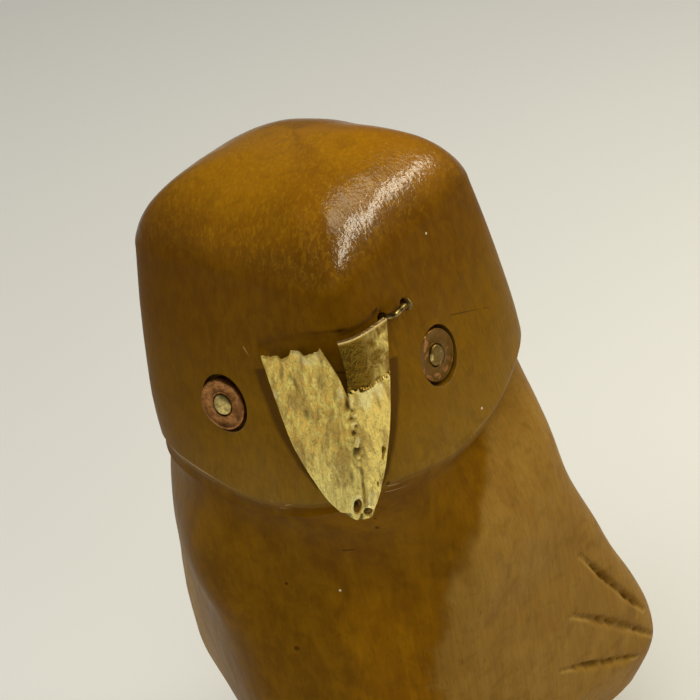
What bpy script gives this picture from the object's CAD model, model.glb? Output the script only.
# %% [markdown]
# # A carved wooden owl with a folded brass beak
# This lesson dresses a small folk carving: an owl cut from one block of honey-brown wood, varnished
# by hand, with a beak of folded sheet brass and eyes made of copper discs and brass pins.
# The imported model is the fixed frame. It says how big each piece is and where it sits, so it is
# loaded first and its box is kept to compare with the finished owl.

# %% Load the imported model
import math
import bpy
import numpy as np
from mathutils import Matrix, Vector


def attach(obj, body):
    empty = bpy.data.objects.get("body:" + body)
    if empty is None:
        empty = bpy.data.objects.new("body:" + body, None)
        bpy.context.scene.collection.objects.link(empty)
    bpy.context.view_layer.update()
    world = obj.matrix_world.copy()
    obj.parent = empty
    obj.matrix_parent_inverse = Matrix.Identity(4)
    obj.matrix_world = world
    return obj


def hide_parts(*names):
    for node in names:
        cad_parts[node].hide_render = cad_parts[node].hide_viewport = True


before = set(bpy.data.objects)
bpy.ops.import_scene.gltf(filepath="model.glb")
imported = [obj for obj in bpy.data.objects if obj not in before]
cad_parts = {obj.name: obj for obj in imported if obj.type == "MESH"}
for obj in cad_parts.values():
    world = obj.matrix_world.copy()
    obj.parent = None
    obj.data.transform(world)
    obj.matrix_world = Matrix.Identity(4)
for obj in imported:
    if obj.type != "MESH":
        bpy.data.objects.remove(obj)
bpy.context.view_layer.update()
MM = 0.001
print("nodes in the frame:", sorted(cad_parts))

# %% [markdown]
# ## The camera
# The owl was seen from its left front, from above, with the camera tipped a little to one side.
# A long lens from a hand's length away keeps the head from looking too big. The picture cuts the
# owl off below the wing tips, so the camera aims at the chin.

# %% Place the camera
VIEW_AZIMUTH = 18.92
VIEW_HEIGHT = 31.08
VIEW_ROLL = 11.65
VIEW_DISTANCE = 180.26
VIEW_TARGET = Vector((1.32, -0.21, 67.96))
LENS = 87.6


def camera_axes(azimuth, height, roll):
    """The camera's right, up and back directions, in that order."""
    a, e, r = (math.radians(x) for x in (azimuth, height, roll))
    back = Vector((math.sin(a) * math.cos(e), -math.cos(a) * math.cos(e), math.sin(e)))
    level = Vector((math.cos(a), math.sin(a), 0))
    upright = back.cross(level)
    right = math.cos(r) * level - math.sin(r) * upright
    return right, back.cross(right), back


def make_camera():
    right, up, back = camera_axes(VIEW_AZIMUTH, VIEW_HEIGHT, VIEW_ROLL)
    data = bpy.data.cameras.new("owl_camera")
    data.lens = LENS
    data.sensor_width = 36
    data.clip_start = 0.01
    data.clip_end = 20
    camera = bpy.data.objects.new("owl_camera", data)
    camera.location = (VIEW_TARGET + back * VIEW_DISTANCE) * MM
    camera.rotation_mode = "QUATERNION"
    camera.rotation_quaternion = Matrix((right, up, back)).transposed().to_quaternion()
    bpy.context.scene.collection.objects.link(camera)
    bpy.context.scene.camera = camera
    return camera


camera = make_camera()
print("camera stands", round(camera.location.length * 1000), "mm from the foot")

# %% [markdown]
# ## Small helpers
# Every piece is made from points worked out in millimetres. These helpers turn them into meshes in
# metres, hang them on the owl's one body and say which plain solid each stands for.

# %% Mesh helpers
def smooth_step(low, high, x):
    t = np.clip((np.asarray(x, float) - low) / (high - low), 0, 1)
    return t * t * (3 - 2 * t)


def mix(a, b, share):
    return a + (b - a) * share


def mesh_object(name, points, faces):
    """A mesh object from points in mm and lists of corner numbers."""
    mesh = bpy.data.meshes.new(name)
    mesh.from_pydata((np.asarray(points, float) * MM).tolist(), [], [list(f) for f in faces])
    mesh.validate()
    piece = bpy.data.objects.new(name, mesh)
    bpy.context.scene.collection.objects.link(piece)
    return piece


def shade(piece, sharp_angle=40):
    """Smooth shading with crisp edges where faces meet at more than the angle."""
    piece.data.shade_smooth()
    piece.data.set_sharp_from_angle(angle=math.radians(sharp_angle))


def applied(piece):
    """Turns the piece's modifiers into its real mesh."""
    bpy.context.view_layer.update()
    evaluated = piece.evaluated_get(bpy.context.evaluated_depsgraph_get())
    mesh = bpy.data.meshes.new_from_object(evaluated)
    old = piece.data
    piece.modifiers.clear()
    piece.data = mesh
    bpy.data.meshes.remove(old)
    mesh.name = piece.name
    return piece


def cut_away(piece, cutters):
    """Takes the cutters' shapes out of the piece and deletes the cutters."""
    for cutter in cutters:
        tool = piece.modifiers.new("cut", "BOOLEAN")
        tool.operation = "DIFFERENCE"
        tool.solver = "EXACT"
        tool.object = cutter
    applied(piece)
    for cutter in cutters:
        bpy.data.objects.remove(cutter)
    return piece


def finish_piece(piece, node, material):
    piece.data.materials.clear()
    piece.data.materials.append(material)
    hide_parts(node)
    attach(piece, "root")
    print(piece.name, "has", len(piece.data.vertices), "points")


# %% [markdown]
# ## Smooth unevenness
# Hand work is never quite flat. A lattice of fixed random values, joined smoothly, gives gentle
# swellings of a chosen size; the seed makes them the same each time.

# %% Smooth noise in space
LATTICE = 24


def soft_noise(points, size, seed, stretch=(1, 1, 1)):
    """Smooth values between -1 and 1 that change over about `size` mm."""
    values = np.random.default_rng(seed).uniform(-1, 1, (LATTICE,) * 3)
    cell = np.asarray(points, float) / (size * np.asarray(stretch, float))
    base = np.floor(cell).astype(int)
    part = cell - base
    part = part * part * (3 - 2 * part)
    total = 0
    for corner in np.ndindex(2, 2, 2):
        weight = np.prod(np.where(corner, part, 1 - part), axis=-1)
        i, j, k = np.moveaxis((base + corner) % LATTICE, -1, 0)
        total = total + weight * values[i, j, k]
    return total


# %% [markdown]
# ## The form of the owl
# The carver started from a square block set corner-on, and took off broad flat cuts: two for the
# face, two behind it, a domed crown, a flat breast and two folded wings. So each level of the owl is
# a ring of flat cuts with softened corners, and the surface runs through the rings. The sizes are
# the same as the solid's, and the mesh is only finer.

# %% Sizes of the carving, in mm
CHIN = 63.0
BROW_RISE = 22.3
CROWN_RISE = 8.7
HEAD_TURN = 21.0
HEAD_FORWARD = 2.9
HEAD_ASIDE = -0.25
FACE_ANGLE = 48.6
NAPE_ANGLE = 135.0
NAPE_PROUD = 1.3
NAPE_BACK = 1.22
BROW_HALF = 13.2
CHIN_HALF = 17.55
BROW_SQUARENESS = 7
CHIN_SQUARENESS = 3.0
RIGHT_FACE_PROUD = 0.65
CHIN_LEAN = 0.8
CROWN_PEAK_FORWARD = 0.3
CROWN_WIDTH_POWER = 2.4
CROWN_HEIGHT_POWER = 1.55
CHIN_LINE = {
    "azimuth": [-180, -110, -56, -45, -20, 4, 30, 45, 80, 110, 180],
    "rise": [3.0, 0.5, -0.3, -0.9, 0.5, 2.5, 0.6, 0.4, 2.4, 3.6, 3.0],
}
CHIN_EDGE_HEIGHT = 1.2
CHIN_EDGE_INSET = 0.35
NECK_GROOVE = 0.5
NECK_FADE = 2.6
BODY_SQUARENESS = 9
BODY_STATIONS = {
    "depth": [1, 11, 22, 40.4, 47.4, 56],
    "breast": [18, 17, 18, 18.5, 17.5, 15.8],
    "wing_angle": [62, 64, 56.5, 53, 50, 48],
    "span": [23, 24.2, 27.1, 31.2, 28.3, 17.5],
    "setback": [2, 1, 3.5, 8.9, 7.9, 1],
    "rear_angle": [130, 140, 150, 156, 150, 140],
    "back": [18, 18.5, 19.5, 20.5, 19.5, 16],
}
ANKLE_RADIUS = 15.6
FOOT_RADIUS = 18.5
FOOT_HEIGHT = 6.0
FOOT_EDGE = 0.6
print("the owl stands", CHIN + BROW_RISE + CROWN_RISE, "mm tall")


# %% Rings of flat cuts
def sin_deg(angle):
    return np.sin(np.radians(angle))


def cos_deg(angle):
    return np.cos(np.radians(angle))


def ring_radius(azimuth, cuts, squareness):
    """Distance to a ring made of flat cuts, each an azimuth and a distance, with soft corners."""
    total = 0
    for cut_azimuth, distance in cuts:
        facing = np.maximum(0, cos_deg(azimuth - cut_azimuth))
        total = total + (facing / distance) ** squareness
    return total ** (-1 / squareness)


def through_stations(xs, ys, x):
    """A smooth curve through stations that never overshoots them."""
    xs, ys = np.asarray(xs, float), np.asarray(ys, float)
    steps = np.diff(xs)
    slopes = np.diff(ys) / steps
    tangents = np.concatenate([slopes[:1], np.zeros(len(xs) - 2), slopes[-1:]])
    for i in range(1, len(xs) - 1):
        if slopes[i - 1] * slopes[i] > 0:
            w1 = 2 * steps[i] + steps[i - 1]
            w2 = steps[i] + 2 * steps[i - 1]
            tangents[i] = (w1 + w2) / (w1 / slopes[i - 1] + w2 / slopes[i])
    at = np.clip(np.asarray(x, float), xs[0], xs[-1])
    i = np.clip(np.searchsorted(xs, at, side="right") - 1, 0, len(steps) - 1)
    t = (at - xs[i]) / steps[i]
    level = (2 * t**3 - 3 * t**2 + 1) * ys[i] + (3 * t**2 - 2 * t**3) * ys[i + 1]
    bend = (t**3 - 2 * t**2 + t) * tangents[i] + (t**3 - t**2) * tangents[i + 1]
    return level + steps[i] * bend


SIDE_AXIS = np.array([cos_deg(HEAD_TURN), sin_deg(HEAD_TURN), 0])
FRONT_AXIS = np.array([sin_deg(HEAD_TURN), -cos_deg(HEAD_TURN), 0])
HEAD_CENTRE = np.array([HEAD_ASIDE, -HEAD_FORWARD, CHIN])


def head_point(across, front, rise):
    """A point given across the face, out in front and above the chin."""
    across, front, rise = np.broadcast_arrays(across, front, rise)
    flat = across[..., None] * SIDE_AXIS + front[..., None] * FRONT_AXIS
    return HEAD_CENTRE + flat + rise[..., None] * np.array([0, 0, 1])


def squareness_at(rise):
    return mix(CHIN_SQUARENESS, BROW_SQUARENESS, np.clip(np.asarray(rise, float) / BROW_RISE, 0, 1))


def chin_line(azimuth):
    """How far the chin's knife line climbs above its level, all round the head."""
    around = (np.asarray(azimuth, float) + 180) % 360 - 180
    return through_stations(CHIN_LINE["azimuth"], CHIN_LINE["rise"], around)


def head_radius(azimuth, rise, squareness):
    down = 1 - np.clip(np.asarray(rise, float) / BROW_RISE, 0, 1)
    half = mix(BROW_HALF, CHIN_HALF, down)
    proud = RIGHT_FACE_PROUD * (1 - down)
    cuts = [(-FACE_ANGLE, half - proud), (FACE_ANGLE, half + proud), (180, half * NAPE_BACK),
            (-NAPE_ANGLE, half + NAPE_PROUD), (NAPE_ANGLE, half + NAPE_PROUD)]
    return ring_radius(azimuth, cuts, squareness)


def head_ring(azimuth, rise, scale, inset, height):
    """One ring of the head. Azimuths count from the turned front; scale shrinks it to the peak."""
    down = 1 - np.clip(rise, 0, BROW_RISE) / BROW_RISE
    lift = down * chin_line(azimuth)
    level = np.minimum(rise + np.maximum(lift, 0), BROW_RISE)
    radius = scale * (head_radius(azimuth, level, squareness_at(level)) - inset)
    across = radius * sin_deg(azimuth) + CHIN_LEAN * down
    front = radius * cos_deg(azimuth) + CROWN_PEAK_FORWARD * (1 - scale)
    return head_point(across, front, height + lift)


def station(key, depth):
    return through_stations(BODY_STATIONS["depth"], BODY_STATIONS[key], depth)


def body_radius(azimuth, depth):
    span, setback = station("span", depth), station("setback", depth)
    wing, rear = station("wing_angle", depth), station("rear_angle", depth)
    wing_at = span * sin_deg(wing) - setback * cos_deg(wing)
    rear_at = span * sin_deg(rear) - setback * cos_deg(rear)
    cuts = [(0, station("breast", depth)), (wing, wing_at), (-wing, wing_at),
            (rear, rear_at), (-rear, rear_at), (180, station("back", depth))]
    low, lowest = BODY_STATIONS["depth"][-2:]
    body = mix(ring_radius(azimuth, cuts, BODY_SQUARENESS), ANKLE_RADIUS, smooth_step(low, lowest, depth))
    lift = np.maximum(chin_line(azimuth - HEAD_TURN), 0)
    neck = head_radius(azimuth - HEAD_TURN, lift, squareness_at(lift)) - NECK_GROOVE
    return mix(body, neck, neck_share(depth))


def neck_share(depth):
    return np.exp(-(np.asarray(depth, float) - BODY_STATIONS["depth"][0]) / NECK_FADE)


def body_point(azimuth, depth):
    """A point of the body's surface at an azimuth from the breast and a depth below the chin."""
    azimuth, depth = np.broadcast_arrays(np.asarray(azimuth, float), np.asarray(depth, float))
    fade = neck_share(depth)
    radius = body_radius(azimuth, depth)
    x = HEAD_ASIDE * fade + radius * sin_deg(azimuth)
    y = -HEAD_FORWARD * fade - radius * cos_deg(azimuth)
    return np.stack([x, y, CHIN - depth + fade * chin_line(azimuth - HEAD_TURN)], -1)


def on_face(across, rise, squareness, out):
    """The point at a distance across the face, standing `out` mm off the ring of cuts."""
    across, rise = np.broadcast_arrays(np.asarray(across, float), np.asarray(rise, float))
    azimuth = np.zeros(across.shape)
    for _ in range(12):
        radius = head_radius(azimuth, rise, squareness) + out
        azimuth = np.degrees(np.arcsin(np.clip(across / radius, -0.95, 0.95)))
    return head_point(across, radius * cos_deg(azimuth), rise)


# %% [markdown]
# ## A fine grid over the form
# Points are spent where there is something to carve. The columns crowd on the face and on the wing
# edges, where the knife cuts are, and so do the rows. The crown's rows are spaced by the length of
# its curve, so the dome has no thin slivers near the brow.

# %% Lay out the grid
COLUMNS = 344
CROWN_ROWS = 46
FACE_ROWS = 76
BODY_ROWS = 128
FACE_SPAN = 62
WING_SPAN = (46, 88)
FAR_WING_SPAN = (-146, -120)
CUTS_SPAN = (20, 43)


def crowded(low, high, count, crowds):
    """Values from low to high, closer together in the crowds; each is (from, to, how much)."""
    fine = np.linspace(low, high, 4000)
    density = np.ones(len(fine))
    for start, end, more in crowds:
        density += more * smooth_step(start - 4, start + 4, fine) * (1 - smooth_step(end - 4, end + 4, fine))
    total = np.concatenate([[0], np.cumsum((density[1:] + density[:-1]) / 2)])
    return np.interp(np.linspace(0, total[-1], count + 1), total, fine)


def column_azimuths():
    crowds = [(-FACE_SPAN, FACE_SPAN, 1.6), (*WING_SPAN, 3.2), (*FAR_WING_SPAN, 1.4)]
    return crowded(-180, 180, COLUMNS, crowds)[:-1]


def crown_profile(count):
    """Scales and heights of the crown's rings, evenly spaced along its curve."""
    turn = np.linspace(0, math.pi / 2, 600)
    scale = np.sin(turn) ** (2 / CROWN_WIDTH_POWER)
    height = CROWN_RISE * np.maximum(np.cos(turn), 0) ** (2 / CROWN_HEIGHT_POWER)
    along = np.concatenate([[0], np.cumsum(np.hypot(np.diff(scale * BROW_HALF), np.diff(height)))])
    even = np.linspace(0, along[-1], count + 1)[1:]
    return np.interp(even, along, scale), np.interp(even, along, height)


def carving_rings():
    """All rings from the peak to the underside, and the number of the chin's ring."""
    azimuth = column_azimuths()
    rings = [head_ring(azimuth, BROW_RISE, s, 0, BROW_RISE + h) for s, h in zip(*crown_profile(CROWN_ROWS))]
    for rise in np.linspace(BROW_RISE, CHIN_EDGE_HEIGHT, FACE_ROWS + 1)[1:]:
        rings.append(head_ring(azimuth, rise, 1, 0, rise))
    chin_ring = len(rings) - 1
    rings.append(head_ring(azimuth, 0, 1, CHIN_EDGE_INSET * 0.4, 0.75))
    rings.append(head_ring(azimuth, 0, 1, CHIN_EDGE_INSET, 0.3))
    rings.append(head_ring(azimuth, 0, 1, NECK_GROOVE * 0.8, 0.0))
    rings.append(head_ring(azimuth, 0, 1, NECK_GROOVE, -0.3))
    first, last = (BODY_STATIONS["depth"][i] for i in (0, -1))
    for depth in crowded(first, last, BODY_ROWS, [(first - 4, first + 3, 1.5), (*CUTS_SPAN, 1.8)]):
        rings.append(body_point(azimuth + HEAD_TURN, depth))
    for radius, height in foot_profile():
        turn = azimuth + HEAD_TURN
        rings.append(np.stack([radius * sin_deg(turn), -radius * cos_deg(turn), height + 0 * turn], -1))
    return np.array(rings), chin_ring


def foot_profile():
    """Radius and height down the foot, its corners rounded by a quarter turn."""
    quarter = np.radians(np.linspace(0, 90, 5))
    inner = FOOT_RADIUS - FOOT_EDGE
    top = [(ANKLE_RADIUS + 0.3, FOOT_HEIGHT + 0.2), (ANKLE_RADIUS + 0.9, FOOT_HEIGHT)]
    upper = [(inner + FOOT_EDGE * math.sin(q), FOOT_HEIGHT - FOOT_EDGE * (1 - math.cos(q))) for q in quarter]
    lower = [(inner + FOOT_EDGE * math.cos(q), FOOT_EDGE * (1 - math.sin(q))) for q in quarter]
    return top + upper + lower


rings, chin_ring = carving_rings()
print("carving grid:", rings.shape[0], "rings of", rings.shape[1], "points")

# %% [markdown]
# ## Tool marks
# The carver's marks are real shape, so they are cut into the mesh and not painted. A mark is a path
# laid on the surface; every grid point near it sinks by the depth of a knife's V, less towards the
# ends. The whole surface also swells and dips a little, as a hand-sanded one does. Under the left of
# the chin the shoulder is pared down, because the body there runs straight on from the chin's edge.


# %% Paths and knife marks
def curve_through(points, count=24):
    """A smooth path through a few points in space."""
    points = np.asarray(points, float)
    along = np.concatenate([[0], np.cumsum(np.linalg.norm(np.diff(points, axis=0), axis=1))])
    even = np.linspace(0, along[-1], count)
    return np.stack([through_stations(along, points[:, k], even) for k in range(3)], -1)


def distance_to_path(points, path):
    """How far each point is from the path, and how far along it the nearest place is, 0 to 1."""
    flat = points.reshape(-1, 3)
    best = np.full(len(flat), 1e9)
    where = np.zeros(len(flat))
    reach = path.max(0) + 4, path.min(0) - 4
    near = np.all((flat < reach[0]) & (flat > reach[1]), axis=1)
    some = flat[near]
    nearest, place = best[near], where[near]
    for i in range(len(path) - 1):
        run = path[i + 1] - path[i]
        t = np.clip((some - path[i]) @ run / (run @ run), 0, 1)
        gap = np.linalg.norm(some - path[i] - t[:, None] * run, axis=1)
        closer = gap < nearest
        nearest = np.where(closer, gap, nearest)
        place = np.where(closer, (i + t) / (len(path) - 1), place)
    best[near], where[near] = nearest, place
    return best.reshape(points.shape[:-1]), where.reshape(points.shape[:-1])


def knife_mark(points, path, width, deep):
    """How far each point sinks under a V-shaped cut along the path."""
    gap, along = distance_to_path(points, path)
    taper = smooth_step(0, 0.3, along) * (1 - smooth_step(0.85, 1, along))
    wall = np.clip(1 - gap / (width / 2 * (0.35 + 0.65 * taper)), 0, 1)
    return deep * taper * wall


FEATHER_CUTS = [
    {"line": [(84.6, 21.2), (90.5, 26.0), (95.8, 30.7), (101.6, 36.0)], "width": 1.15, "deep": 0.85},
    {"line": [(78.8, 28.1), (91.5, 33.5), (104.0, 41.1)], "width": 1.5, "deep": 0.8},
    {"line": [(73.0, 34.5), (88.7, 38.5), (98.5, 41.7)], "width": 1.35, "deep": 0.75},
]
CUTS_BEGIN = 74
WINGS = [{"side": 1, "begin": CUTS_BEGIN, "spread": 1}, {"side": -1, "begin": 103, "spread": 0.8}]


def feather_path(cut, wing):
    """A cut's path on a wing; on the far wing the cuts are shorter and begin behind the tip."""
    turned = [(wing["side"] * (wing["begin"] + (a - CUTS_BEGIN) * wing["spread"]), d) for a, d in cut["line"]]
    return curve_through([body_point(azimuth, depth) for azimuth, depth in turned])


feather_paths = [feather_path(cut, wing) for cut in FEATHER_CUTS for wing in WINGS]
print("feather cuts:", len(feather_paths))

# %% [markdown]
# The beak is let into the face: a knife line was drawn above it and the wood below the line was
# shaved down, so the sheet's top edge sits in a shallow step.

# %% The step for the beak
BEAK_LEFT_EDGE = [(-6.5, 16.4), (-6.1, 12.9), (-5.5, 8.8), (-4.3, 5.6), (-3.0, 3.5), (-1.7, 2.5)]
BEAK_FOLD = [(-0.15, 19.1), (0.55, 15.3), (0.55, 11.0), (0.3, 7.1), (0.0, 4.4), (-0.8, 2.2)]
BEAK_RIGHT_EDGE = [(5.7, 18.6), (5.0, 14.6), (4.2, 10.8), (3.0, 7.3), (1.7, 4.6), (0.4, 2.5)]
KNIFE_LINE = [(-7.64, 16.27), (-5.4, 17.8), (-3.28, 18.79), (0.12, 19.55), (5.01, 19.35)]
STEP_DEPTH = 0.32
KNIFE_LINE_WIDTH = 0.55
KNIFE_LINE_DEPTH = 0.22


def across_face(points):
    """Across, front and rise of points in the head's own frame."""
    offset = points - HEAD_CENTRE
    return offset @ SIDE_AXIS, offset @ FRONT_AXIS, offset[..., 2]


def beak_step(points):
    """How far the wood is shaved down behind the beak."""
    across, front, rise = across_face(points)
    line = np.array(KNIFE_LINE)
    left = np.array(BEAK_LEFT_EDGE)[::-1]
    right = np.array(BEAK_RIGHT_EDGE)[::-1]
    top = np.interp(across, line[:, 0], line[:, 1])
    inside_left = across - (np.interp(rise, left[:, 1], left[:, 0]) - 0.3)
    inside_right = np.interp(rise, right[:, 1], right[:, 0]) + 0.1 - across
    below = smooth_step(0, 0.35, top - rise)
    sides = smooth_step(0, 0.5, inside_left) * smooth_step(0, 0.4, inside_right)
    lower = smooth_step(4, 9, rise)
    return STEP_DEPTH * below * sides * lower * (front > 5)


knife_path = curve_through(on_face(*np.array(KNIFE_LINE).T, squareness_at(18.5), 0), 40)
print("knife line above the beak:", round(float(np.linalg.norm(np.diff(knife_path, axis=0), axis=1).sum()), 1), "mm")


# %% Cut the marks into the grid
def grid_normals(grid):
    """Outward directions at the grid's points; the columns close on themselves."""
    across = np.roll(grid, -1, axis=1) - np.roll(grid, 1, axis=1)
    down = np.gradient(grid, axis=0)
    normal = np.cross(down, across)
    return normal / np.maximum(np.linalg.norm(normal, axis=-1, keepdims=True), 1e-9)


SANDED_AWAY = 0.07
NECK_TRIM = 0.68
NECK_TRIM_SPAN = (-72, -4)


def neck_trim(grid):
    """How far the left shoulder is pared away just under the chin, where no ledge was left."""
    azimuth = np.degrees(np.arctan2(grid[..., 0], -grid[..., 1]))
    below = CHIN + chin_line(azimuth - HEAD_TURN) - grid[..., 2]
    start, end = NECK_TRIM_SPAN
    beside = smooth_step(start - 22, start + 22, azimuth) * (1 - smooth_step(end - 14, end + 14, azimuth))
    return NECK_TRIM * beside * smooth_step(0.2, 1.2, below) * (1 - smooth_step(2.4, 10, below))


def hand_work(grid):
    """Sinks the marks into the grid and adds the unevenness of a sanded surface."""
    out = grid_normals(grid)
    quiet = smooth_step(0.5, 3.0, grid[..., 2:3])[..., 0]
    swell = 0.16 * soft_noise(grid, 7.0, 3, (1, 1, 1.5)) + 0.05 * soft_noise(grid, 2.6, 4, (1, 1, 1.6))
    facets = 0.07 * np.abs(soft_noise(grid, 4.2, 9, (1, 1, 2.2)))
    sink = knife_mark(grid, knife_path, KNIFE_LINE_WIDTH, KNIFE_LINE_DEPTH) + beak_step(grid) + neck_trim(grid)
    for path, cut in zip(feather_paths, [cut for cut in FEATHER_CUTS for _ in (1, -1)]):
        ragged = 1 + 0.5 * soft_noise(grid, 0.55, 17) + 0.25 * soft_noise(grid, 0.3, 18)
        sink = sink + knife_mark(grid, path, cut["width"], cut["deep"]) * ragged
    height = quiet * (np.minimum(swell, 0.0) - facets - sink - SANDED_AWAY)
    return grid + out * height[..., None]


def carving_mesh(grid):
    """The closed mesh: the grid, a fan at the peak and a fan under the foot."""
    rows, columns = grid.shape[:2]
    peak = head_point(0, CROWN_PEAK_FORWARD, BROW_RISE + CROWN_RISE)
    points = np.concatenate([peak[None], grid.reshape(-1, 3), [[0, 0, 0]]])
    number = 1 + np.arange(rows * columns).reshape(rows, columns)
    beside = np.roll(number, -1, axis=1)
    quads = np.stack([number[:-1], number[1:], beside[1:], beside[:-1]], -1).reshape(-1, 4)
    top = [(0, a, b) for a, b in zip(number[0], beside[0])]
    under = [(len(points) - 1, b, a) for a, b in zip(number[-1], beside[-1])]
    return points, quads.tolist() + top + under


owl = mesh_object("carved_owl", *carving_mesh(hand_work(rings)))
print("wood mesh:", len(owl.data.polygons), "faces")

# %% [markdown]
# ## Sockets and bores
# The eyes sit in drilled holes and the nails go through the sheet into the wood. Round cutters take
# these out of the carving, just as the drill did. Each eye's hole was drilled a little more to the
# front than the cheek faces, so its disc sinks on the side of the beak.

# %% Drill the carving
SOCKET_RADIUS = 3.05
SOCKET_DEPTH = 1.7
DISC_RADIUS = 2.65
DISC_THICKNESS = 1.3
DISC_HOLE_RADIUS = 1.15
DISC_FLOOR = 1.4
PIN_RADIUS = 1.08
EYES = {
    "left": {"across": -11.45, "rise": 9.45, "azimuth": -41, "lean": 11},
    "right": {"across": 10.15, "rise": 10.8, "azimuth": 45, "lean": 10},
}
SHEET_GAP = 0.35
SHEET_THICKNESS = 0.45
NAIL_RADIUS = 0.3
NAIL_BORE_RADIUS = 0.48
NAIL_DEPTH = 1.6
TIP_NAILS = {"left": (-0.8, 3.65), "right": (0.1, 3.0)}
CORNER_NAIL = {"across": 5.45, "rise": 18.3, "head_across": 7.75, "head_rise": 18.4}


def direction(azimuth, lean):
    """A direction from the head, by azimuth from its front and lean upwards."""
    level = sin_deg(azimuth) * SIDE_AXIS + cos_deg(azimuth) * FRONT_AXIS
    return level * cos_deg(lean) + np.array([0, 0, 1]) * sin_deg(lean)


def turned(profile, centre, axis, sides, name):
    """A closed solid turned round an axis from (radius, height) points, first and last on it."""
    axis = np.asarray(axis, float)
    side = np.cross(axis, [0, 0, 1.0])
    side = side / np.linalg.norm(side)
    other = np.cross(axis, side)
    turn = np.linspace(0, 2 * math.pi, sides, endpoint=False)
    around = np.cos(turn)[:, None] * side + np.sin(turn)[:, None] * other
    points = [centre + axis * profile[0][1]]
    for radius, height in profile[1:-1]:
        points.extend(centre + radius * around + axis * height)
    points.append(centre + axis * profile[-1][1])
    rows = len(profile) - 2
    faces = [(0, 1 + (i + 1) % sides, 1 + i) for i in range(sides)]
    for row in range(rows - 1):
        a, b = 1 + row * sides, 1 + (row + 1) * sides
        faces += [(a + i, a + (i + 1) % sides, b + (i + 1) % sides, b + i) for i in range(sides)]
    last = 1 + (rows - 1) * sides
    faces += [(len(points) - 1, last + i, last + (i + 1) % sides) for i in range(sides)]
    return mesh_object(name, np.array(points), faces)


def drill(centre, axis, low, high, radius, sides=64):
    profile = [(0, low), (radius, low), (radius, high), (0, high)]
    return turned(profile, centre, axis, sides, "drill")


def eye_place(eye):
    centre = on_face(eye["across"], eye["rise"], squareness_at(eye["rise"]), 0)
    return centre, direction(eye["azimuth"], eye["lean"])


TIP_AXIS = direction(0, 8)
CORNER_AXIS = direction(FACE_ANGLE, 11)
corner_point = on_face(CORNER_NAIL["across"], CORNER_NAIL["rise"], squareness_at(CORNER_NAIL["rise"]), 0)


def tip_place(across, rise):
    """Where a tip nail meets the sheet's outer face, and how far behind that the wood is."""
    outer = on_face(across, rise, BROW_SQUARENESS, SHEET_GAP + SHEET_THICKNESS)
    wood = on_face(across, rise, squareness_at(rise), 0)
    return outer, float((outer - wood) @ TIP_AXIS)


drills = [drill(*eye_place(eye), -SOCKET_DEPTH, 4, SOCKET_RADIUS, 96) for eye in EYES.values()]
for across, rise in TIP_NAILS.values():
    outer, reach = tip_place(across, rise)
    drills.append(drill(outer, TIP_AXIS, -reach - NAIL_DEPTH - 0.3, 1, NAIL_BORE_RADIUS, 32))
drills.append(drill(corner_point, CORNER_AXIS, -NAIL_DEPTH - 0.3, 2, NAIL_BORE_RADIUS, 32))
cut_away(owl, drills)
shade(owl, 50)
print("drilled wood:", sum(len(p.vertices) - 2 for p in owl.data.polygons), "triangles")


# %% [markdown]
# ## Notes for the varnisher
# Some of the finish depends on where it is: the bib is a deeper orange than the wings, the chin's
# edge is rubbed pale, and dirt has gathered in the knife line and beside the sheet. Each of these is
# written on the mesh as a number at every point, which the wood's material reads. Distances in
# millimetres work best, because a thin line drawn from a distance stays sharp between the points.

# %% Write the notes on the mesh
BIB_EDGE = [(0.6, 64.8), (8.3, 46.7), (13.3, 36.5), (24.5, 28.5), (40.0, 26.0), (56.0, 24.0)]


def write_note(piece, name, values):
    note = piece.data.attributes.new(name, "FLOAT", "POINT")
    note.data.foreach_set("value", np.asarray(values, np.float32))


def points_of(piece):
    flat = np.zeros(len(piece.data.vertices) * 3, np.float32)
    piece.data.vertices.foreach_get("co", flat)
    return flat.reshape(-1, 3).astype(float) / MM


def normals_of(piece):
    flat = np.zeros(len(piece.data.vertices) * 3, np.float32)
    piece.data.vertex_normals.foreach_get("vector", flat)
    return flat.reshape(-1, 3).astype(float)


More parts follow.
